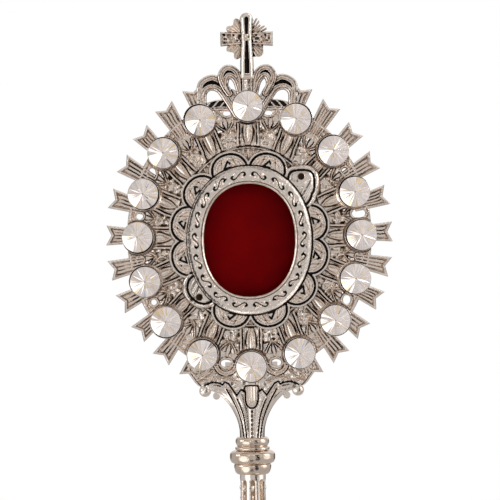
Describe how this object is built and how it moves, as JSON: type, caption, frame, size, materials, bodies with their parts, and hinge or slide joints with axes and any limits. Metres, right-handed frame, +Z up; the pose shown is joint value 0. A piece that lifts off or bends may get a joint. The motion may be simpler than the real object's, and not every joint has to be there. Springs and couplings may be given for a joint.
{
  "type": "reliquary monstrance",
  "caption": "Table monstrance: cast sunburst with a ring of pointed crystals, a glazed oval window in a petal frame over red velvet, a cross on top, and a turned stem on a round foot.",
  "frame": {"origin": "middle of the foot's underside", "axes": "+Z up along the stem, front of the sunburst faces -Y, +X to the right seen from the front"},
  "size_m": [0.0768, 0.072, 0.2],
  "materials": {
    "silver_plate": "bright silver plate over castings, with dark brown patina left in the recesses",
    "crystal": "faceted clear cut glass with a foil back",
    "window_glass": "clear polished flat glass",
    "red_velvet": "dark red velvet, short pile",
    "backing_board": "stiff brown card",
    "steel": "plain drawn steel"
  },
  "bodies": {
    "stand": {"sunburst": "silver_plate", "cross": "silver_plate", "crystal_cup_01": "silver_plate", "crystal_cup_02": "silver_plate", "crystal_cup_03": "silver_plate", "crystal_cup_04": "silver_plate", "crystal_cup_05": "silver_plate", "crystal_cup_06": "silver_plate", "crystal_cup_07": "silver_plate", "crystal_cup_08": "silver_plate", "crystal_cup_09": "silver_plate", "crystal_cup_10": "silver_plate", "crystal_cup_11": "silver_plate", "crystal_cup_12": "silver_plate", "crystal_cup_13": "silver_plate", "crystal_cup_14": "silver_plate", "crystal_cup_15": "silver_plate", "crystal_cup_16": "silver_plate", "petal_frame": "silver_plate", "window_bezel": "silver_plate", "glass_retainer": "silver_plate", "frame_rivet_upper": "silver_plate", "frame_rivet_lower": "silver_plate", "rear_case": "silver_plate", "leaf_socket": "silver_plate", "knop_upper_collar": "silver_plate", "knop": "silver_plate", "knop_lower_collar": "silver_plate", "stem_shaft": "silver_plate", "stem_node": "silver_plate", "foot_collar": "silver_plate", "foot": "silver_plate", "crystal_01": "crystal", "crystal_02": "crystal", "crystal_03": "crystal", "crystal_04": "crystal", "crystal_05": "crystal", "crystal_06": "crystal", "crystal_07": "crystal", "crystal_08": "crystal", "crystal_09": "crystal", "crystal_10": "crystal", "crystal_11": "crystal", "crystal_12": "crystal", "crystal_13": "crystal", "crystal_14": "crystal", "crystal_15": "crystal", "crystal_16": "crystal", "window_glass": "window_glass", "hinge_pin": "steel", "turn_button_screw": "steel", "tie_rod": "steel", "tie_rod_washer": "steel", "tie_rod_nut": "steel"},
    "door": {"rear_door": "silver_plate", "pad_board": "backing_board", "velvet_pad": "red_velvet"},
    "turn_button": {"turn_button": "silver_plate"}
  },
  "joints": [
    {"name": "rear_door_hinge", "type": "hinge", "parent": "stand", "child": "door", "pos_m": [-0.019, 0.0062, 0.1391], "axis": [0, 0, 1], "range_deg": [0, 110]},
    {"name": "turn_button_pivot", "type": "hinge", "parent": "stand", "child": "turn_button", "pos_m": [0.019, 0.0073, 0.1471], "axis": [0, 1, 0], "range_deg": [0, 90]}
  ]
}
